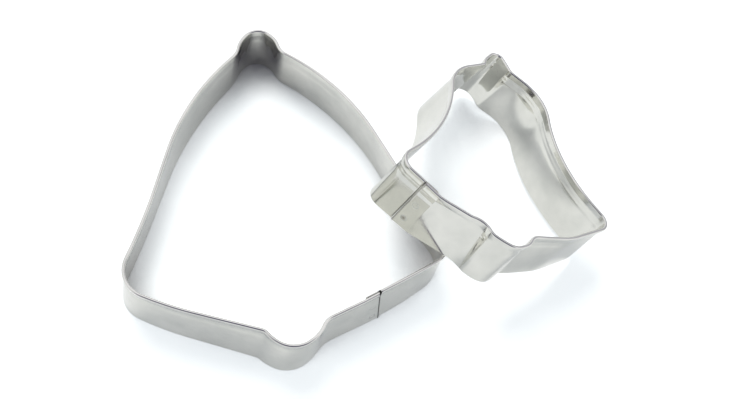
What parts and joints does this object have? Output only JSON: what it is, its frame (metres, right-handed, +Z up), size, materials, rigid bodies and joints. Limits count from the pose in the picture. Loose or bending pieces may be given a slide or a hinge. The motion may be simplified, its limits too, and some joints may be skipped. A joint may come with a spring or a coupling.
{
  "type": "cookie cutter set",
  "caption": "Bell-shaped pastry cutters, each bent from a steel strip with a hemmed rim and welded lap; the smaller one leans on the rim of the larger. They stamp bells from dough.",
  "frame": {"origin": "middle of the set's bounding box, on the table under the large cutter's cutting edge", "axes": "+Y along the large bell from clapper to crown, +X towards the small cutter, +Z up from the table"},
  "size_m": [0.1466, 0.1122, 0.0443],
  "materials": {
    "strip_steel": "bright rolled stainless strip, mirror-like with faint waves",
    "weld_steel": "spot weld, dull and slightly darker than the strip"
  },
  "bodies": {
    "large_cutter": {"large_cutter_band": "strip_steel", "large_cutter_welds": "weld_steel"},
    "small_cutter": {"small_cutter_band": "strip_steel", "small_cutter_welds": "weld_steel"}
  },
  "joints": [
    {"name": "small_cutter_lift", "type": "slide", "parent": "large_cutter", "child": "small_cutter", "axis": [0, 0, 1], "range_m": [0, 0.06]}
  ]
}
